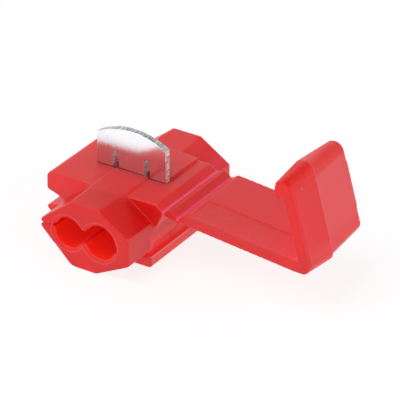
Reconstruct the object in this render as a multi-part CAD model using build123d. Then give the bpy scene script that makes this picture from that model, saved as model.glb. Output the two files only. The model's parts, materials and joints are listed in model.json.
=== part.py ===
from build123d import *
import os
from math import cos, radians, sin, tan

# An in-line wire splice: a one-piece moulded housing with a fold-over cover, and a stamped contact.
# Sizes are millimetres. X runs across the wires from the lips to the hinge, Y along the wires, Z up.
# The origin is on the underside of the housing, midway between the two wire channels.

# Housing, its end section and its middle block
housing_length = 20.0
block_length = 10.8
core_top = 7.66
block_top = 7.58
crease_z = 7.46
flat_left = -1.9
flat_right = 2.13
flat_draft = 0.27
side_x = 5.72
side_draft = 0.05
side_top = 5.24
side_bottom = 2.08
keel_left = -1.6
keel_right = 1.6
lip_x = -5.5
lip_height = 0.98
lip_round = 0.36
keel_round = 0.9
edge_round = 0.15
parting_y = -1.0

# Wire channels
tap_radius = 1.95
run_radius = 1.75
channel_spacing = 4.0
channel_z = 3.85
neck_height = 1.5
neck_round = 0.4
slit_z = 4.2
slit_gap = 0.2
slit_mouth = 0.4
slit_flare = 2.3
tap_stop = 1.3
lead_in = 0.35
lead_depth = 0.2
notch_depth = 0.32
notch_height = 0.7
notch_drop = 0.3

# Wing, lower flange and latch ledge on the lip side
wing_top_x = -7.85
wing_tip_x = -7.9
wing_tip_z = 5.4
wing_knee_x = -6.5
wing_knee_z = 4.95
flange_top_z = 3.36
flange_nose_z = 3.05
latch_wall_x = -7.5
latch_wall_z = 2.7
latch_toe_x = -7.82
ledge_z = 0.85
foot_x = -6.4
wing_round = 0.7
tip_round = 0.3

# Base block and relief groove on the hinge side
base_x = 5.85
base_top = 1.25
base_step = 0.5
base_left = 2.5
base_round = 0.35
relief_front = 1.45
relief_rear = 1.85
relief_depth = 0.8

# Living hinges and the link between them
hinge_x = 7.02
hinge_z = 6.95
web = 0.38
rib_top_x = 6.05
brow_low_x = 6.3
brow_low_z = 5.1
brow_high_x = 6.93
wall_top_z = 4.56
link_reach = 1.8
link_drop = 0.27
link_crest_x = 0.93
link_crest_rise = 0.43

# Cover strap
strap_shoulder_x = 0.83
strap_shoulder_rise = 0.55
strap_length = 14.08
strap_fall = 1.26
strap_thickness = 1.1
panel_depth = 0.07
panel_edge = 0.4
panel_start = 0.35

# Latch flap, seen from the inner corner of the cover; it draws in from the parting line to its ends
flap_lean = 15.6
flap_wall = 1.4
flap_height = 9.72
heel_drop = 1.32
wall_draw = 0.28
top_draw = 0.5
heel_draw = 0.32
hook_drop = 2.31
hook_reach = 0.98
hook_nose = 0.7
hook_crown = 0.5
top_round = 1.15
heel_round = 0.85
hook_round = 0.2
inner_round = 0.4
split_back = 0.85
rear_wall_inset = 0.08
rear_heel_inset = 0.35
pad_rise = 0.3
pad_low = 1.6
pad_drop = 2.92
pad_margin = 0.2

# Contact
blade_width = 8.8
blade_thickness = 0.8
blade_y = -0.44
blade_corner_z = 11.3
blade_arch = 1.2
blade_tip_z = 5.95
blade_play = 0.05
slot_width = 0.66
slot_top_z = 9.6
slot_mouth = 0.45
leg_chamfer = 0.4
press_stroke = 4.9
floor_play = 0.15

# Platform behind the contact
platform_rise = 0.2
platform_right = 4.4
platform_left = -4.4


def at_y(y):
    """Plane across the wires at y, with its own X and Y along X and Z."""
    return Plane(origin=(0, y, 0), x_dir=(1, 0, 0), z_dir=(0, -1, 0))


def outline(points, rounds=None):
    """Closed face through the points; rounds maps a point's index to the radius of its corner."""
    face = make_face(Polyline(*points, close=True))
    for index, radius in (rounds or {}).items():
        corner = face.vertices().sort_by_distance((*points[index], 0))[0]
        face = fillet(corner, radius)
    return face


def prism(face, y_from, y_to):
    return extrude(at_y(y_to) * face, y_to - y_from)


def core_section(draft):
    """Section through the lips and channels; draft runs from 0 at the block to 1 at the ends."""
    left = flat_left + flat_draft * draft
    right = flat_right - flat_draft * draft
    side = side_x - side_draft * draft
    lip = lip_x + side_draft * draft
    points = [
        (lip, slit_z + lip_height / 2),
        (left, core_top),
        (right, core_top),
        (side, side_top),
        (side, side_bottom),
        (keel_right, 0),
        (keel_left, 0),
        (lip, slit_z - lip_height / 2),
    ]
    rounds = {0: lip_round, 7: lip_round, 6: keel_round}
    rounds.update({index: edge_round for index in (1, 2, 3, 4, 5)})
    return outline(points, rounds)


def core():
    half_block = block_length / 2
    half = housing_length / 2
    body = prism(core_section(0), -half_block, half_block)
    for side in (-1, 1):
        near = at_y(side * half_block) * core_section(0)
        far = at_y(side * half) * core_section(1)
        body += loft([near, far], ruled=True)
    return body


def block_section():
    points = [
        (wing_top_x, block_top),
        (wing_tip_x, wing_tip_z),
        (wing_knee_x, wing_knee_z),
        (lip_x, slit_z + slit_gap / 2),
        (lip_x, slit_z - slit_gap / 2),
        (wing_tip_x, flange_top_z),
        (wing_tip_x, flange_nose_z),
        (latch_wall_x, latch_wall_z),
        (latch_toe_x, ledge_z),
        (foot_x, ledge_z),
        (foot_x, 0),
        (base_x, 0),
        (base_x, base_top),
        (side_x, base_top),
        (side_x, wall_top_z),
        (brow_low_x, brow_low_z),
        (brow_high_x, hinge_z - web),
        (hinge_x, hinge_z - web),
        (hinge_x, hinge_z),
        (rib_top_x, block_top),
        (flat_right, crease_z),
        (flat_left, block_top),
    ]
    rounds = {0: wing_round, 1: tip_round, 11: base_round, 19: edge_round}
    return outline(points, rounds)


def base_section():
    points = [(base_left, 0), (base_x, 0), (base_x, base_top), (base_left, base_top)]
    return outline(points, {1: base_round})


def relief(opening, y_from, y_to):
    """Round-bottomed groove in the side wall, above the base block."""
    radius = opening / 2
    centre_x = side_x - relief_depth + radius
    groove = Pos(centre_x, base_top + radius) * Circle(radius)
    mouth = Pos(centre_x + radius, base_top + radius) * Rectangle(2 * radius, opening)
    return prism(groove + mouth, y_from, y_to)


def channel_section():
    """Sections of the run channel, of both channels joined, and of the relief at the tap channel."""
    half = channel_spacing / 2
    tap = Pos(half, channel_z) * Circle(tap_radius)
    run = Pos(-half, channel_z) * Circle(run_radius)
    flare = outline([
        (-half - slit_flare, slit_z),
        (-half, slit_z - run_radius / 2),
        (-half, slit_z + run_radius / 2),
    ])
    neck = Pos(0, channel_z) * Rectangle(channel_spacing, neck_height)
    pair = run + flare + neck + tap
    cusps = [v for v in pair.vertices() if abs(v.X) < half / 2]
    notch = Pos(half + tap_radius, channel_z - notch_drop) * Rectangle(2 * notch_depth, notch_height)
    return run + flare, fillet(cusps, neck_round), notch


def lead_in_cut(section, end):
    """Shallow bevel round a channel's mouth at one end of the housing."""
    inward = -1 if end > 0 else 1
    wide = offset(section, lead_in, kind=Kind.INTERSECTION)
    return loft([at_y(end) * wide, at_y(end + inward * lead_depth) * section], ruled=True)


def housing():
    half = housing_length / 2
    half_block = block_length / 2
    body = core() + prism(block_section(), -half_block, half_block)
    body += prism(base_section(), -half_block - base_step, half_block + base_step)
    back = blade_y + blade_thickness / 2
    body += Pos((platform_left + platform_right) / 2, (back + half_block) / 2, core_top) * Box(
        platform_right - platform_left, half_block - back, 2 * platform_rise)

    body -= relief(relief_front, -half_block, parting_y)
    body -= relief(relief_rear, parting_y, half_block)

    run, pair, notch = channel_section()
    stop_y = half - tap_stop
    body -= prism(run, -half, half)
    body -= prism(pair, -half, stop_y)
    body -= prism(notch, -half, stop_y)
    for end, section in ((-half, pair), (half, run)):
        body -= lead_in_cut(section, end)
    inner_x = -channel_spacing / 2
    slit = Pos((inner_x + wing_tip_x) / 2, slit_z) * Rectangle(inner_x - wing_tip_x, slit_gap)
    mouth = outline([
        (lip_x - slit_mouth, slit_z - slit_mouth),
        (lip_x + slit_mouth, slit_z),
        (lip_x - slit_mouth, slit_z + slit_mouth),
    ])
    body -= prism(slit + mouth, -half, half)

    slot_floor = blade_tip_z - press_stroke - floor_play
    slot_height = core_top + 2 * platform_rise - slot_floor
    body -= Pos(0, blade_y, slot_floor + slot_height / 2) * Box(
        blade_width + 2 * blade_play, blade_thickness + 2 * blade_play, slot_height)
    return body


def contact():
    half = blade_width / 2
    points = [
        (-half + leg_chamfer, blade_tip_z),
        (-half, blade_tip_z + leg_chamfer),
        (-half, blade_corner_z),
    ]
    rim = Polyline(*points) + ThreePointArc(
        (-half, blade_corner_z), (0, blade_corner_z + blade_arch), (half, blade_corner_z))
    rim += Polyline((half, blade_corner_z), (half, blade_tip_z + leg_chamfer),
                    (half - leg_chamfer, blade_tip_z), (-half + leg_chamfer, blade_tip_z))
    blank = make_face(rim)
    slot_height = slot_top_z - blade_tip_z
    for x in (-channel_spacing / 2, channel_spacing / 2):
        slot = Pos(x, blade_tip_z + (slot_height - slot_width / 2) / 2) * Rectangle(
            slot_width, slot_height - slot_width / 2)
        crown = Pos(x, slot_top_z - slot_width / 2) * Circle(slot_width / 2)
        mouth = outline([(x - slot_width / 2 - slot_mouth, blade_tip_z), (x, blade_tip_z + 2 * slot_mouth),
                         (x + slot_width / 2 + slot_mouth, blade_tip_z)])
        blank -= slot + crown + mouth
    return prism(blank, blade_y - blade_thickness / 2, blade_y + blade_thickness / 2)


def link():
    end_x = hinge_x + link_reach
    end_z = hinge_z - link_drop
    points = [
        (hinge_x, hinge_z - web),
        (hinge_x, hinge_z),
        (hinge_x + link_crest_x, hinge_z + link_crest_rise),
        (end_x, end_z),
        (end_x, end_z - web),
    ]
    return prism(outline(points, {2: edge_round}), -block_length / 2, block_length / 2)


def cover_points():
    """Hinge line, shoulder and inner corner of the cover, in the section across the wires."""
    pivot = (hinge_x + link_reach, hinge_z - link_drop)
    shoulder = (pivot[0] + strap_shoulder_x, pivot[1] + strap_shoulder_rise)
    corner = (shoulder[0] + strap_length, shoulder[1] - strap_fall)
    return pivot, shoulder, corner


def flap_pivot():
    """Lower edge of the bend between strap and flap, about which the flap springs."""
    split_x = cover_points()[2][0] - split_back
    return split_x, strap_top(split_x) - strap_thickness


def strap_top(x):
    pivot, shoulder, corner = cover_points()
    return shoulder[1] - strap_fall * (x - shoulder[0]) / strap_length


def strap():
    pivot, shoulder, corner = cover_points()
    half = block_length / 2
    split_x = corner[0] - split_back
    points = [
        (pivot[0], pivot[1] - web),
        pivot,
        shoulder,
        (split_x, strap_top(split_x)),
        (split_x, strap_top(split_x) - strap_thickness),
    ]
    body = prism(outline(points, {2: edge_round}), -half, half)
    panel_from = shoulder[0] + panel_start
    panel = outline([
        (panel_from, strap_top(panel_from) - panel_depth),
        (split_x, strap_top(split_x) - panel_depth),
        (split_x, strap_top(split_x) + strap_thickness),
        (panel_from, strap_top(panel_from) + strap_thickness),
    ])
    return body - prism(panel, -half + panel_edge, parting_y)


def flap_frame():
    """Function that places a point a height up the flap and a step out from its inner face."""
    corner = cover_points()[2]
    lean = radians(flap_lean)

    def place(up, out):
        return (corner[0] - up * sin(lean) + out * cos(lean), corner[1] + up * cos(lean) + out * sin(lean))

    return place


def flap_section(draw, wall_inset=0.0, heel_inset=0.0):
    """Section of the latch flap; draw runs from 0 at the parting line to 1 at the ends."""
    corner = cover_points()[2]
    place = flap_frame()
    wall = flap_wall - wall_draw * draw - wall_inset
    top = flap_height - top_draw * draw
    hook = flap_height - hook_drop
    split_x = corner[0] - split_back
    under_split = strap_top(split_x) - strap_thickness
    fall = strap_fall / strap_length
    heel_z = corner[1] - heel_drop + heel_draw * draw + heel_inset
    face_x, face_z = place(0, wall)
    lean = tan(radians(flap_lean))
    heel_x = (face_x + lean * (face_z - heel_z - fall * corner[0])) / (1 - lean * fall)
    points = [
        (split_x, under_split),
        (split_x, strap_top(split_x)),
        corner,
        place(hook, 0),
        place(hook, -hook_reach),
        place(hook + hook_nose, -hook_reach),
        place(top, -hook_crown),
        place(top, wall),
        (heel_x, heel_z - fall * (heel_x - corner[0])),
    ]
    rounds = {2: inner_round, 4: hook_round, 5: hook_round, 6: hook_round, 7: top_round, 8: heel_round}
    return outline(points, rounds)


def flap():
    half = block_length / 2
    body = None
    for end, insets in ((-half, (0, 0)), (half, (rear_wall_inset, rear_heel_inset))):
        sections = [at_y(parting_y) * flap_section(0, *insets), at_y(end) * flap_section(1, *insets)]
        piece = loft(sections, ruled=True)
        body = piece if body is None else body + piece
    place = flap_frame()
    inside = pad_margin
    outside = flap_wall - wall_draw - pad_margin
    pad_top = flap_height - pad_drop
    pad = outline([place(pad_low, inside), place(pad_low, outside), place(pad_top, outside),
                   place(pad_top, inside)])
    return body + prism(pad, half - pad_margin, half + pad_rise)


if __name__ == "__main__":
    os.makedirs("parts", exist_ok=True)
    export_step(housing(), "parts/housing.step")
    export_step(contact(), "parts/contact.step")
    export_step(link(), "parts/hinge_link.step")
    export_step(strap(), "parts/cover_strap.step")
    export_step(flap(), "parts/latch_flap.step")
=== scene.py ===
import json
import math

import bmesh
import bpy
import numpy as np
from mathutils import Matrix, Vector


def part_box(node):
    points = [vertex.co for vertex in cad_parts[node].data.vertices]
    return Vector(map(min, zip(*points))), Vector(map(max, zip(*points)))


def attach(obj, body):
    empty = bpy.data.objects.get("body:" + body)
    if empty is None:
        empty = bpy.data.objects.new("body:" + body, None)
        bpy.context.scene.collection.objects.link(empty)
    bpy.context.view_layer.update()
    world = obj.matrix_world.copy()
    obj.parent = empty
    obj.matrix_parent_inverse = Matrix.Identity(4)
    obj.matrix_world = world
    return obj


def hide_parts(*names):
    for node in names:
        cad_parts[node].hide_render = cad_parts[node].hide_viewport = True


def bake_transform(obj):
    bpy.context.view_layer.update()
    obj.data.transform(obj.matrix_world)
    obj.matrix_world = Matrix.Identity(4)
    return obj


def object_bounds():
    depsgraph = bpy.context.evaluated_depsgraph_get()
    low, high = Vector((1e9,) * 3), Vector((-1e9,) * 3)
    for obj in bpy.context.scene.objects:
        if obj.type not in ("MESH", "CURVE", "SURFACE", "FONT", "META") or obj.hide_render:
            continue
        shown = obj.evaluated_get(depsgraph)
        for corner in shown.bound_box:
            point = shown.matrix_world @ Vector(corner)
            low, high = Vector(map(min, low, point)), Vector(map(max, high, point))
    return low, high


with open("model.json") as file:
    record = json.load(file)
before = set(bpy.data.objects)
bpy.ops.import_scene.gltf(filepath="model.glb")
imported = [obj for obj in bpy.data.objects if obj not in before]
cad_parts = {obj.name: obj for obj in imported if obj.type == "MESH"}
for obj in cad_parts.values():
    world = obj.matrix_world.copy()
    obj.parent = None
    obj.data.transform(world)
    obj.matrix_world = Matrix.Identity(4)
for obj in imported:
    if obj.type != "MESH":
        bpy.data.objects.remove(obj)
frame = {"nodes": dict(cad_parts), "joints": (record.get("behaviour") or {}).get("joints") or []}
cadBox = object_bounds()
mm = 0.001


# A wrapped socket: +, - and * between sockets and numbers add the Math nodes themselves
class Wire:
    def __init__(self, tree, socket):
        self.tree = tree
        self.socket = socket

    def maths(self, operation, first, second=None):
        return node(self.tree, "ShaderNodeMath", {"operation": operation}, {0: first, 1: second})

    def __add__(self, other):
        return self.maths("ADD", self, other)

    def __radd__(self, other):
        return self.maths("ADD", other, self)

    def __sub__(self, other):
        return self.maths("SUBTRACT", self, other)

    def __rsub__(self, other):
        return self.maths("SUBTRACT", other, self)

    def __mul__(self, other):
        return self.maths("MULTIPLY", self, other)

    def __rmul__(self, other):
        return self.maths("MULTIPLY", other, self)

    def away(self):
        return self.maths("ABSOLUTE", self)

    def root(self):
        return self.maths("SQRT", self)

    def least(self, other):
        return self.maths("MINIMUM", self, other)

    def most(self, other):
        return self.maths("MAXIMUM", self, other)

    # 0 at low, 1 at high with a soft passage; low may be the larger of the two
    def ramp(self, low, high):
        return node(self.tree, "ShaderNodeMapRange", {"interpolation_type": "SMOOTHSTEP"},
                    {"Value": self, "From Min": low, "From Max": high})

    # 1 on a thin line where the value is at, 0 beyond width
    def line(self, at, width, core=0.3):
        return (self - at).away().ramp(width, core * width)

    # 1 between low and high, with soft ends
    def between(self, low, high, soft):
        return self.ramp(low - soft, low + soft) * self.ramp(high + soft, high - soft)


def node(tree, kind, settings=None, values=None, output=0):
    made = tree.nodes.new(kind)
    for name, value in (settings or {}).items():
        setattr(made, name, value)
    for name, value in (values or {}).items():
        if isinstance(value, Wire):
            tree.links.new(value.socket, made.inputs[name])
        elif value is not None:
            made.inputs[name].default_value = value
    return Wire(tree, made.outputs[output])


def newMaterial(name):
    material = bpy.data.materials.new(name)
    material.use_nodes = True
    material.node_tree.nodes.clear()
    return material, material.node_tree


def closeMaterial(tree, surface, kind="ShaderNodeOutputMaterial"):
    output = tree.nodes.new(kind)
    tree.links.new(surface.socket, output.inputs["Surface"])


def noise(tree, place, scale, detail=2.0, roughness=0.5):
    values = {"Vector": place, "Scale": scale, "Detail": detail, "Roughness": roughness}
    return node(tree, "ShaderNodeTexNoise", {}, values)


def dots(tree, place, scale, radius, core=0.6):
    cells = node(tree, "ShaderNodeTexVoronoi", {}, {"Vector": place, "Scale": scale})
    return cells.ramp(radius, core * radius)


def mixColour(tree, share, first, second):
    made = tree.nodes.new("ShaderNodeMix")
    made.data_type = "RGBA"
    sockets = {(s.name, s.type): s for s in made.inputs}
    chosen = {("Factor", "VALUE"): share, ("A", "RGBA"): first, ("B", "RGBA"): second}
    for key, value in chosen.items():
        if isinstance(value, Wire):
            tree.links.new(value.socket, sockets[key])
        else:
            sockets[key].default_value = (*value, 1)
    return Wire(tree, next(s for s in made.outputs if s.type == "RGBA"))


def bumped(tree, height, strength=1.0, distance=1.0):
    values = {"Height": height, "Strength": strength, "Distance": distance}
    return node(tree, "ShaderNodeBump", {}, values)


def stretched(tree, place, factors):
    return node(tree, "ShaderNodeVectorMath", {"operation": "MULTIPLY"}, {0: place, 1: factors})


def axes(tree, place):
    parts = tree.nodes.new("ShaderNodeSeparateXYZ")
    tree.links.new(place.socket, parts.inputs[0])
    return [Wire(tree, output) for output in parts.outputs]


def shown(name, data):
    made = bpy.data.objects.new(name, data)
    bpy.context.scene.collection.objects.link(made)
    return made


# A copy of a CAD node's mesh with its loose triangles joined
def mergedCopy(nodeName, name):
    samePoint = 1e-7
    mesh = frame["nodes"][nodeName].data.copy()
    mesh.materials.clear()
    shape = bmesh.new()
    shape.from_mesh(mesh)
    bmesh.ops.remove_doubles(shape, verts=shape.verts, dist=samePoint)
    shape.to_mesh(mesh)
    shape.free()
    return shown(name, mesh)


# Turns an object's modifiers into its mesh
def settle(made):
    graph = bpy.context.evaluated_depsgraph_get()
    mesh = bpy.data.meshes.new_from_object(made.evaluated_get(graph))
    made.modifiers.clear()
    made.data = mesh


# The moulding is one piece on the real thing. Its CAD nodes are joined, given the soft edges that a
# mould leaves, and parted again at the bottoms of the hinge grooves and at the bend of the flap.
moulding = {
    "voxel": 0.08 * mm,
    "smoothPull": 0.5,
    "smoothing": 4,
    "trianglesLeft": 272000,
    "edgeSpread": 4,             # rounds of averaging of the ridges and corners that the material reads
    "litUp": (0.25, 0.45),       # a ridge is a lit one where its normal looks up this far
    "litAcross": (0.5, 0.3),     # and along Y no further than this
    "sideDepth": 0.5,            # how much painted shade the other ridges get, next to the painted highlight on the lit ones
    "slotPlay": 0.05 * mm,
    "bendRows": 8,
    "seam": 0.004 * mm,          # a hair between two stretches, so that their end faces don't coincide
    "link_fold": (0, 0.4 * mm),  # rise of the cover at a bend, in degrees, and how far the bend reaches
    "strap_fold": (0, 0.4 * mm),
    "flap_flex": (30, 1.25 * mm),
}


def joinedMoulding():
    whole = mergedCopy("housing", "wholeMoulding")
    others = [mergedCopy(name, name + "Copy") for name in ("hinge_link", "cover_strap", "latch_flap")]
    for other in others:
        join = whole.modifiers.new("join", "BOOLEAN")
        join.operation = "UNION"
        join.solver = "EXACT"
        join.object = other
    settle(whole)
    for other in others:
        bpy.data.objects.remove(other)
    return whole


def soften(whole):
    remesh = whole.modifiers.new("remesh", "REMESH")
    remesh.mode = "VOXEL"
    remesh.voxel_size = moulding["voxel"]
    remesh.use_smooth_shade = True
    smooth = whole.modifiers.new("smooth", "SMOOTH")
    smooth.factor = moulding["smoothPull"]
    smooth.iterations = moulding["smoothing"]
    settle(whole)


# Keeps the walls of the contact's slot clear of the contact, which the softening brings too near
def clearSlot(mesh):
    low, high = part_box("contact")
    play = moulding["slotPlay"]
    middle = (low + high) / 2
    half = (high - low) / 2 + Vector((play, play, 0))
    for point in mesh.vertices:
        away = point.co - middle
        if abs(away.x) < half.x and abs(away.y) < half.y:
            if half.y - abs(away.y) < half.x - abs(away.x):
                point.co.y = middle.y + math.copysign(half.y, away.y)
            else:
                point.co.x = middle.x + math.copysign(half.x, away.x)


# 0 at low, 1 at high, and a straight passage from one to the other
def passed(values, low, high):
    return np.clip((values - low) / (high - low), 0, 1)


# Writes how sharply the surface turns at each point: above 0 on ridges that look up, which get a painted
# highlight, and below 0 in corners and on the ridges that look sideways, which get painted shade
def markEdges(mesh):
    count = len(mesh.vertices)
    places, normals = np.empty(count * 3), np.empty(count * 3)
    mesh.vertices.foreach_get("co", places)
    mesh.vertex_normals.foreach_get("vector", normals)
    places, normals = places.reshape(-1, 3), normals.reshape(-1, 3)
    ends = np.empty(len(mesh.edges) * 2, dtype=np.int64)
    mesh.edges.foreach_get("vertices", ends)
    first, second = ends.reshape(-1, 2).T
    along = places[second] - places[first]
    shortest = 0.1 * moulding["voxel"]
    reach = np.maximum((along * along).sum(axis=1), shortest ** 2)
    bend = ((normals[second] - normals[first]) * along).sum(axis=1) / reach
    degree = np.bincount(first, minlength=count) + np.bincount(second, minlength=count)

    def averaged(atFirst, atSecond):
        return (np.bincount(first, atFirst, count) + np.bincount(second, atSecond, count)) / degree

    turn = averaged(bend, bend)
    for _ in range(moulding["edgeSpread"]):
        turn = (turn + averaged(turn[second], turn[first])) / 2
    up, across = normals[:, 2], np.abs(normals[:, 1])
    lit = passed(up, *moulding["litUp"]) * passed(across, *moulding["litAcross"])
    turn = np.where(turn > 0, turn * (lit - moulding["sideDepth"] * (1 - lit)), turn)
    mesh.attributes.new("turn", "FLOAT", "POINT").data.foreach_set("value", turn * mm)
    print("surface turns from", round(turn.min() * mm, 1), "to", round(turn.max() * mm, 1), "per mm")


def triangleCount(mesh):
    return sum(len(face.vertices) - 2 for face in mesh.polygons)


def thinOut(whole):
    triangles = triangleCount(whole.data)
    thin = whole.modifiers.new("thin", "DECIMATE")
    thin.ratio = min(1.0, moulding["trianglesLeft"] / triangles)
    settle(whole)
    print("moulding:", triangles, "triangles, thinned to", triangleCount(whole.data))


# Cuts a shape by a plane; with an outer side to clear, what lies there goes
def cutAt(shape, place, outwards, clearOuter=False):
    onPlane = 1e-9
    everything = shape.verts[:] + shape.edges[:] + shape.faces[:]
    cut = bmesh.ops.bisect_plane(shape, geom=everything, dist=onPlane, plane_co=place, plane_no=outwards,
                                 clear_outer=clearOuter)
    return [part for part in cut["geom_cut"] if isinstance(part, bmesh.types.BMEdge)]


# The stretch of a mesh between two bends, each cut closed with a flat face. It gets rows of points where
# it bends, and keeps each point's place as moulded, which its material reads.
def stretchOf(mesh, name, near, far):
    shape = bmesh.new()
    shape.from_mesh(mesh)
    for bend, side in ((near, -1), (far, 1)):
        if bend is None:
            continue
        outwards = side * bend["along"]
        rim = cutAt(shape, bend["place"] - outwards * moulding["seam"] / 2, outwards, clearOuter=True)
        for face in bmesh.ops.holes_fill(shape, edges=rim)["faces"]:
            face.smooth = False
            face.material_index = 1
        for edge in rim:
            edge.smooth = False
    if near is not None:
        rows = moulding["bendRows"]
        for row in range(1, rows):
            cutAt(shape, near["place"] + near["reach"] * row / rows * near["along"], near["along"])
    result = bpy.data.meshes.new(name)
    shape.to_mesh(result)
    shape.free()
    places = np.empty(len(result.vertices) * 3)
    result.vertices.foreach_get("co", places)
    moulded = result.attributes.new("moulded", "FLOAT_VECTOR", "POINT")
    moulded.data.foreach_set("vector", places)
    return shown(name, result)


# Where the moulding bends at a joint: a line across it, and the way along the cover from there
def bendAt(jointName, rise, reach):
    joint = next(j for j in frame["joints"] if j["name"] == jointName)
    slope = math.radians(rise)
    along = Vector((math.cos(slope), 0, math.sin(slope)))
    return {"place": Vector(joint["pos_m"]), "along": along, "reach": reach}


def makeMoulding(blockMaterial, coverMaterial, seamMaterial):
    whole = joinedMoulding()
    soften(whole)
    clearSlot(whole.data)
    markEdges(whole.data)
    thinOut(whole)
    bends = [bendAt(joint, *moulding[joint]) for joint in ("link_fold", "strap_fold", "flap_flex")]
    stretches = [
        ("housingMoulding", "housing", "housing_body"),
        ("hingeLinkMoulding", "hinge_link", "link_body"),
        ("coverStrapMoulding", "cover_strap", "strap_body"),
        ("latchFlapMoulding", "latch_flap", "flap_body"),
    ]
    for (name, nodeName, body), near, far in zip(stretches, [None] + bends, bends + [None]):
        piece = stretchOf(whole.data, name, near, far)
        piece.data.materials.append(blockMaterial if near is None else coverMaterial)
        piece.data.materials.append(seamMaterial)
        if near is None:
            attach(piece, body)
        else:
            near["place"] + near["reach"] * near["along"]
            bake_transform(piece)
        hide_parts(nodeName)
        print(name, triangleCount(piece.data), "triangles")
    bpy.data.objects.remove(whole)
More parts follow.
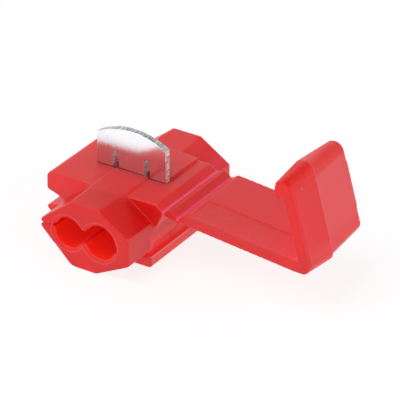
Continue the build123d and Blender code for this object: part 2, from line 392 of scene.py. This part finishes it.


# Red polypropylene, translucent and satin. Its shades are laid one over another, most of them painted
# light and shade:
# painted shade makes it deeper at the front end, in the notches, in corners and on the flap's crest, and
# painted light makes it paler at the rear end, low on the base block, on the cover, in the bores and
# webs, and in painted highlights along the ridges. Flow clouds, the grain of the mould and a few specks
# are faint.
partingY = -1.0   # the mould's parting line across the cover, in millimetres
partingWidth = 0.1
behindParting = ("y", partingY, partingY + partingWidth)
beforeParting = ("y", partingY + partingWidth, partingY)
plastic = {
    "shades": {
        "colour": (0.87, 0.012, 0.011),
        # pale: clouds and dust of the plastic, and painted light at the rear, on the base's foot, the
        # bores' ring and the flap's rear half
        "pale": (0.92, 0.10, 0.11),
        # a painted reflection on the rear slope
        "magenta": (0.93, 0.05, 0.13),
        # painted shade in corners, on sideways ridges and in the base's groove
        "deep": (0.83, 0.002, 0.0015),
        # painted shade at the front end, on the cover's front and on the link
        "front": (0.76, 0.006, 0.006),
        # painted shade in the notches
        "notch": (0.68, 0.004, 0.003),
        # painted light at the rear end
        "rear": (0.97, 0.012, 0.016),
        # painted light low on the base block
        "base": (0.98, 0.02, 0.02),
        # painted light that comes through the thin cover
        "thin": (1.0, 0.045, 0.055),
        # painted shade on the flap's crest and front half
        "crest": (0.92, 0.003, 0.003),
        # painted light through the thin hinge webs
        "web": (0.93, 0.12, 0.24),
        # painted light in the bores
        "bore": (0.96, 0.025, 0.015),
        # painted highlight on the ridges
        "ridge": (0.96, 0.14, 0.14),
        # painted highlight: a glint on the heel and a line along the ledge's ridge
        "shine": (0.97, 0.30, 0.31),
        "darkSpeck": (0.45, 0.004, 0.004),
        # a painted glow on the hidden ends of the stretches
        "inside": (0.24, 0.011, 0.011),
        # painted glows: for light through the base, bores and webs, and for highlights on the ridges and
        # the ledge
        "ridgeGlow": (0.07, 0.005, 0.005),
        "baseGlow": (0.06, 0.004, 0.004),
        "shineGlow": (0.12, 0.06, 0.06),
        "boreGlow": (0.075, 0.003, 0.0015),
        "webGlow": (0.03, 0.005, 0.025),
    },
    # Each patch in millimetres: passages (axis, where it starts, where it is full), bands (axis, from,
    # to, softness), and the name of a patch that it lies in
    "patches": {
        "rearwards": [("y", -7.0, 7.0)],
        "frontFace": [("y", -9.6, -9.8)],
        "butRearFace": [("y", 9.9, 9.7)],
        "frontEnd": [("y", -5.4, -6.4)],
        "rearEnd": [("y", 5.4, 6.4)],
        "rearSlope": [("x", 3.6, 5.2), ("y", 6.0, 8.0), ("z", 5.0, 5.8)],
        "notchFace": [("y", -6.3, -5.2, 0.2), ("x", 2.4, 3.0), ("z", 4.0, 4.6)],
        "base": [("x", 4.0, 4.6), ("y", -5.9, 5.9, 0.1)],
        "lowBase": ["base", ("z", 3.6, 3.2), ("x", 6.6, 6.2)],
        "baseFoot": ["base", ("z", 1.9, 1.4)],
        "baseGroove": ["base", ("z", 1.9, 3.0, 0.2), ("x", 5.0, 4.85)],
        "ledge": [("x", 5.2, 5.5), ("z", 0.8, 1.35, 0.1)],
        "firstWeb": [("x", 6.9, 7.25, 0.08), ("z", 6.5, 6.6)],
        "link": [("x", 7.35, 8.6, 0.08), ("z", 6.4, 6.6)],
        "secondWeb": [("x", 8.72, 8.98, 0.08), ("z", 6.5, 6.6)],
        "cover": [("x", 8.9, 9.4)],
        "coverFront": ["cover", ("y", -4.7, -4.95)],
        "panel": [("x", 10.1, 22.5, 0.1), ("y", -4.9, partingY, 0.1), ("z", 5.3, 5.5)],
        "heel": [("x", 22.3, 22.9), ("z", 6.0, 5.0)],
        "flap": [("x", 19.0, 20.0), ("z", 6.5, 8.0)],
        "flapBeforeParting": ["flap", beforeParting],
        "flapByParting": ["flapBeforeParting", ("y", -4.6, -1.4)],
        "flapBehindParting": ["flap", behindParting],
        "flapCrest": ["flap", ("z", 13.9, 15.2, 0.25)],
    },
    # What is laid over the first colour, in this order: where, which shade, and its share there
    "layers": [
        # flow clouds, with a painted sheen towards the rear
        ("cloudsAndRearSheen", "pale", 1.0),
        # painted shade at the front end and in the notches, painted light at the rear end, low on the
        # base block and on its foot
        ("frontEnd", "front", 0.85),
        ("notchFace", "notch", 0.8),
        ("rearEnd", "rear", 0.85),
        ("lowBase", "base", 0.85),
        ("baseFoot", "pale", 0.5),
        # painted shade in the base's groove, a painted glint on the heel and a painted reflection on the
        # rear slope
        ("baseGroove", "deep", 0.4),
        ("heel", "shine", 0.6),
        ("rearSlope", "magenta", 0.6),
        # painted highlights on ridges that look up and along the ledge, painted shade in corners and on
        # sideways ridges
        ("ridge", "ridge", 0.6),
        ("corner", "deep", 0.8),
        ("ledgeRidge", "shine", 1.0),
        # painted light through the thin cover, painted shade on its front and on the link
        ("cover", "thin", 0.85),
        ("coverFront", "front", 0.8),
        ("link", "front", 0.7),
        # painted light through the webs and in the bores, and a painted highlight on the ring round the
        # bores
        ("webs", "web", 1.0),
        ("inBore", "bore", 1.0),
        ("ring", "pale", 0.6),
        # painted shade on the flap's front half, by the parting and on its crest, painted light on its
        # rear half
        ("flapByParting", "colour", 0.75),
        ("flapBehindParting", "pale", 0.5),
        ("flapBeforeParting", "crest", 0.6),
        ("flapCrest", "crest", 0.95),
        # specks and dust of the plastic itself
        ("speck", "darkSpeck", 1.0),
        ("dust", "pale", 0.6),
    ],
    "glows": [                                     # the same over black: painted glow for light that comes through, and painted highlights
        ("ridge", "ridgeGlow", 0.7),
        ("lowBase", "baseGlow", 1.0),
        ("ledgeRidge", "shineGlow", 1.0),
        ("inBore", "boreGlow", 1.0),
        ("webs", "webGlow", 1.0),
    ],
    "cloudHaze": 0.25,
    # share of the painted sheen towards the rear
    "rearSheen": 0.2,
    "cloudShare": (0.3, 0.8),                      # noise values at which clouds start and are full
    "ridgeTurn": (0.4, 2.6),                       # turn of the surface, from markEdges
    "cornerTurn": (-0.3, -2.5),
    "tapBore": (2.0 * mm, 3.85 * mm, 1.95 * mm),   # centre across, centre up, radius
    "runBore": (-2.0 * mm, 3.85 * mm, 1.75 * mm),
    "boreEdge": (0.14 * mm, 0.04 * mm),            # how far outside a bore its shade ends and is full
    "ring": (0.42 * mm, 0.09 * mm),                # distance from the bores, and width
    "clouds": (230.0, 3.0),                        # noises: scale, detail and roughness
    "grain": (5200.0, 3.0, 0.6),
    "texture": (3000.0, 2.0, 0.7),
    "textureStretch": (1.0, 1.5, 1.0),
    "speck": (400.0, 0.07),                        # dots: scale and radius
    "speckClusters": 330.0,
    "dust": (520.0, 0.08),
    "dustStretch": (1.0, 0.6, 1.0),
    "dustClusters": 250.0,
    "clusterShare": (0.54, 0.57),
    "ringDeep": 0.01 * mm,
    "grainDeep": 0.003 * mm,
    "panelDeep": 0.10 * mm,
    "depth": 3.0 * mm,
    "coverDepth": 1.2 * mm,
    "spread": (1.0, 0.10, 0.08),
    "roughness": 0.40,
    "cloudRoughness": 0.1,
}


# A soft passage or band along one axis, in millimetres
def passage(place, axis, *ends):
    ends = [end * mm for end in ends]
    return place[axis].between(*ends) if len(ends) == 3 else place[axis].ramp(*ends)


def fromBore(place, bore):
    centreX, centreZ, radius = bore
    x, z = place["x"] - centreX, place["z"] - centreZ
    return (x * x + z * z).root() - radius


# How far each point lies in every patch, ridge, bore and speck, from 0 to 1
def plasticMasks(tree, vector, clouds):
    place = dict(zip("xyz", axes(tree, vector)))
    masks = {}
    for name, parts in plastic["patches"].items():
        inside = [masks[part] if part in masks else passage(place, *part) for part in parts]
        masks[name] = math.prod(inside)
    # flow clouds, and a painted sheen towards the rear
    masks["cloudsAndRearSheen"] = (clouds.ramp(*plastic["cloudShare"]) * plastic["cloudHaze"]
                     + masks["rearwards"] * plastic["rearSheen"])
    turn = node(tree, "ShaderNodeAttribute", {"attribute_name": "turn"}, output="Fac")
    # a painted highlight on ridges and painted shade in corners
    masks["ridge"] = turn.ramp(*plastic["ridgeTurn"])
    masks["corner"] = turn.ramp(*plastic["cornerTurn"])
    masks["ledgeRidge"] = masks["ridge"] * masks["ledge"]
    masks["webs"] = masks["firstWeb"].most(masks["secondWeb"])
    mouth = fromBore(place, plastic["tapBore"]).least(fromBore(place, plastic["runBore"]))
    masks["inBore"] = mouth.ramp(*plastic["boreEdge"]) * masks["butRearFace"]
    masks["ring"] = mouth.line(*plastic["ring"]) * masks["frontFace"]
    for name, spread in (("speck", vector), ("dust", stretched(tree, vector, plastic["dustStretch"]))):
        clusters = noise(tree, vector, plastic[name + "Clusters"]).ramp(*plastic["clusterShare"])
        masks[name] = dots(tree, spread, *plastic[name]) * clusters
    return masks


def laidOver(tree, ground, layers, masks):
    for where, shade, share in layers:
        ground = mixColour(tree, masks[where] * share, ground, plastic["shades"][shade])
    return ground


def redPlastic(name, depth):
    material, tree = newMaterial(name)
    place = node(tree, "ShaderNodeAttribute", {"attribute_name": "moulded"}, output="Vector")
    clouds = noise(tree, place, *plastic["clouds"])
    grain = noise(tree, place, *plastic["grain"])
    texture = noise(tree, stretched(tree, place, plastic["textureStretch"]), *plastic["texture"])
    masks = plasticMasks(tree, place, clouds)
    height = (grain * plastic["grainDeep"] + (texture - 0.5) * masks["panel"] * plastic["panelDeep"]
              - masks["ring"] * plastic["ringDeep"])
    surface = node(tree, "ShaderNodeBsdfPrincipled", {"subsurface_method": "RANDOM_WALK"}, {
        # the colour, with painted light and shade laid over it
        "Base Color": laidOver(tree, plastic["shades"]["colour"], plastic["layers"], masks),
        "Roughness": plastic["roughness"] + plastic["cloudRoughness"] * (clouds - 0.5),
        "Subsurface Weight": 1.0,
        "Subsurface Radius": plastic["spread"],
        "Subsurface Scale": depth,
        # painted glows, laid over black
        "Emission Color": laidOver(tree, (0, 0, 0), plastic["glows"], masks),
        "Emission Strength": 1.0,
        "IOR": 1.49,
        "Normal": bumped(tree, height),
    })
    closeMaterial(tree, surface)
    print(name, "has", len(tree.nodes), "nodes")
    return material


# The hidden ends of the moulding's stretches glow with painted light for the light that carries on
# inside the plastic
def seamPlastic():
    material, tree = newMaterial("redPolypropyleneSeam")
    surface = node(tree, "ShaderNodeBsdfPrincipled", {}, {
        "Base Color": (*plastic["shades"]["colour"], 1),
        "Roughness": 1.0,
        "Emission Color": (*plastic["shades"]["inside"], 1),
        "Emission Strength": 1.0,
    })
    closeMaterial(tree, surface)
    return material


# Tin-plated contact: bright rolled faces with a painted reflection of the red block low down, and grey
# sheared edges with the marks of the punch and a painted highlight towards the top
tin = {
    "bright": (0.96, 0.95, 0.97),
    # the lower face's colour: a painted reflection of the red block
    "redReflection": (0.72, 0.66, 0.69),
    "brightRise": (9.6 * mm, 11.6 * mm),   # heights over which the painted reflection low on the face gives way to bright
    "roughness": 0.14,
    "rolled": (11000.0, 3.0),
    "rolledStretch": (1.0, 1.0, 0.07),
    "rolledDeep": 0.004 * mm,
    "rolledRoughness": 0.1,
    "pits": (2600.0, 0.16),
    "pitClusters": 1500.0,
    "pitShare": (0.55, 0.6),
    "pitDeep": 0.5,                        # share of rolledDeep
    "bowFrom": 9.6 * mm,                   # above this height the bump leans back,
    "bow": 24.0,                           # by this times the height squared
    "bowRise": 0.8 * mm,                   # how much higher it starts at the one side
    "bowSide": (0.5 * mm, 3.5 * mm),
    "wander": 1.6 * mm,                    # how far its start wanders, below the heights of wanderEnd
    "wanderEnd": (11.0 * mm, 10.0 * mm),
    "wanderNoise": (3500.0, 3.0, 0.6),
    "wanderStretch": (1.0, 1.0, 0.12),
    "shearedPale": (1.0, 1.0, 1.0),
    "shearedDark": (0.34, 0.33, 0.36),
    "sheared": (8500.0, 3.0, 0.7),
    "shearedStretch": (1.0, 0.12, 1.0),
    "shearedShare": (0.42, 0.58),
    "shearedDeep": 0.04 * mm,
    "shearedStrength": 0.4,
    "shearedRoughness": (0.5, 0.2),        # least, and what the marks add
    # heights and share of a painted highlight towards the top of the sheared edges
    "upperEdge": (9.6 * mm, 11.0 * mm),
    "upperPale": 0.3,
    "flatAngle": math.radians(0.5),        # facets that turn less than this become one face
    "rolledNormal": 0.7,                   # a rolled face looks along Y at least this much
    "edgeAngle": math.radians(40),         # edges sharper than this are rounded
    "edgeRound": 0.05 * mm,
    "edgeSteps": 2,
}


def tinFace():
    material, tree = newMaterial("tinFace")
    place = node(tree, "ShaderNodeTexCoord", output="Object")
    x, _, z = axes(tree, place)
    wander = noise(tree, stretched(tree, place, tin["wanderStretch"]), *tin["wanderNoise"]) - 0.5
    start = tin["bowFrom"] + x.ramp(*tin["bowSide"]) * tin["bowRise"]
    bowed = (z + wander * tin["wander"] * z.ramp(*tin["wanderEnd"]) - start).most(0)
    rolled = noise(tree, stretched(tree, place, tin["rolledStretch"]), *tin["rolled"])
    clusters = noise(tree, place, tin["pitClusters"]).ramp(*tin["pitShare"])
    pits = dots(tree, place, *tin["pits"]) * clusters
    height = (rolled - pits * tin["pitDeep"]) * tin["rolledDeep"] - bowed * bowed * tin["bow"]
    # a painted reflection of the red block low on the face, bright higher up
    withRedReflection = mixColour(tree, z.ramp(*tin["brightRise"]), tin["redReflection"], tin["bright"])
    surface = node(tree, "ShaderNodeBsdfPrincipled", {}, {
        "Base Color": mixColour(tree, pits, withRedReflection, tin["shearedDark"]),
        "Metallic": 1.0,
        "Roughness": tin["roughness"] + tin["rolledRoughness"] * rolled,
        "Normal": bumped(tree, height),
    })
    closeMaterial(tree, surface)
    return material


def tinSheared():
    material, tree = newMaterial("tinSheared")
    place = node(tree, "ShaderNodeTexCoord", output="Object")
    across = noise(tree, stretched(tree, place, tin["shearedStretch"]), *tin["sheared"])
    upper = axes(tree, place)[2].ramp(*tin["upperEdge"])
    # the punch's marks, with a painted highlight towards the top
    pale = across.ramp(*tin["shearedShare"]).most(upper * tin["upperPale"])
    roughness, marks = tin["shearedRoughness"]
    surface = node(tree, "ShaderNodeBsdfPrincipled", {}, {
        "Base Color": mixColour(tree, pale, tin["shearedDark"], tin["shearedPale"]),
        "Metallic": 1.0,
        "Roughness": roughness + marks * across,
        "Normal": bumped(tree, across, tin["shearedStrength"], tin["shearedDeep"]),
    })
    closeMaterial(tree, surface)
    return material


def makeContact(face, sheared):
    piece = mergedCopy("contact", "contactBlade")
    piece.data.materials.append(face)
    piece.data.materials.append(sheared)
    shape = bmesh.new()
    shape.from_mesh(piece.data)
    bmesh.ops.dissolve_limit(shape, angle_limit=tin["flatAngle"], verts=shape.verts, edges=shape.edges)
    for flat in shape.faces:
        flat.material_index = 0 if abs(flat.normal.y) > tin["rolledNormal"] else 1
    shape.to_mesh(piece.data)
    shape.free()
    bevel = piece.modifiers.new("edges", "BEVEL")
    bevel.width = tin["edgeRound"]
    bevel.segments = tin["edgeSteps"]
    bevel.limit_method = "ANGLE"
    bevel.angle_limit = tin["edgeAngle"]
    bevel.harden_normals = True
    settle(piece)
    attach(piece, "contact_body")
    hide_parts("contact")
    print("contactBlade", triangleCount(piece.data), "triangles")


# The photograph's camera: a long lens from the front right, a little above
camera = {
    "place": (0.15859, -0.23327, 0.16285),
    "azimuth": 32.81,
    "elevation": 29.43,
    "lens": 270.0,
    "sensor": 36.0,
    "clips": (0.01, 20.0),
}


def makeCamera():
    data = bpy.data.cameras.new("camera")
    made = shown("camera", data)
    data.lens = camera["lens"]
    data.sensor_width = camera["sensor"]
    data.clip_start, data.clip_end = camera["clips"]
    turned, raised = math.radians(camera["azimuth"]), math.radians(camera["elevation"])
    level = math.cos(raised)
    back = Vector((math.sin(turned) * level, -math.cos(turned) * level, math.sin(raised)))
    right = Vector((math.cos(turned), math.sin(turned), 0))
    up = back.cross(right)
    facing = Matrix((right, up, back)).transposed().to_4x4()
    made.matrix_world = Matrix.Translation(camera["place"]) @ facing
    bpy.context.scene.camera = made
    print("camera set,", camera["lens"], "mm lens")


# A white sweep that runs up behind the object, a dimmer room above it, and two soft lamps
studio = {
    "floorHalf": 1.5,
    "floorColour": (0.86, 0.86, 0.86),
    "shadowShare": 0.3,
    "glow": 1.17,
    "sweep": 1.0,
    "room": 0.15,
    "sweepTop": (0.5, 0.64),     # sines of the angles over which the sweep gives way to the room
    "lampsAim": (0.008, 0, 0.005),
    "lamps": [                   # name, place, size and power
        ("highLamp", (-0.14, -0.24, 0.46), 0.36, 1.05),
        ("sideLamp", (0.42, -0.02, 0.16), 0.3, 0.2),
    ],
}


# Two masks: the camera's own rays, and these together with the mirrored and the refracted ones
def lookedAt(tree):
    path = tree.nodes.new("ShaderNodeLightPath")
    names = ("Is Camera Ray", "Is Glossy Ray", "Is Transmission Ray")
    seen, mirrored, through = [Wire(tree, path.outputs[name]) for name in names]
    return seen, seen.most(mirrored).most(through)


def makeFloor():
    half = studio["floorHalf"]
    corners = [(-half, -half, 0), (half, -half, 0), (half, half, 0), (-half, half, 0)]
    mesh = bpy.data.meshes.new("floor")
    mesh.from_pydata(corners, [], [(0, 1, 2, 3)])
    made = shown("floor", mesh)
    made.location.z = cadBox[0].z
    material, tree = newMaterial("whiteFloor")
    plain = node(tree, "ShaderNodeBsdfDiffuse", {}, {"Color": (*studio["floorColour"], 1)})
    glow = node(tree, "ShaderNodeEmission", {}, {"Color": (1, 1, 1, 1), "Strength": studio["glow"]})
    glowing = lookedAt(tree)[1] * (1 - studio["shadowShare"])
    closeMaterial(tree, node(tree, "ShaderNodeMixShader", {}, {0: glowing, 1: plain, 2: glow}))
    mesh.materials.append(material)


def makeWorld():
    world = bpy.data.worlds.new("studio")
    bpy.context.scene.world = world
    world.use_nodes = True
    tree = world.node_tree
    tree.nodes.clear()
    height = axes(tree, node(tree, "ShaderNodeTexCoord", output="Generated"))[2]
    room = studio["sweep"] + (studio["room"] - studio["sweep"]) * height.ramp(*studio["sweepTop"])
    strength = room.most(lookedAt(tree)[0])
    light = node(tree, "ShaderNodeBackground", {}, {"Color": (1, 1, 1, 1), "Strength": strength})
    closeMaterial(tree, light, "ShaderNodeOutputWorld")


def makeLamps():
    for name, place, size, power in studio["lamps"]:
        data = bpy.data.lights.new(name, "AREA")
        data.shape = "SQUARE"
        data.size = size
        data.energy = power
        made = shown(name, data)
        made.location = place
        aim = Vector(studio["lampsAim"]) - made.location
        made.rotation_euler = aim.to_track_quat("-Z", "Y").to_euler()
    print("studio has", len(studio["lamps"]), "lamps")


makeCamera()
makeFloor()
makeWorld()
makeLamps()
bpy.context.scene.view_settings.view_transform = "Standard"
makeMoulding(redPlastic("redPolypropylene", plastic["depth"]),
             redPlastic("redPolypropyleneCover", plastic["coverDepth"]), seamPlastic())
makeContact(tinFace(), tinSheared())
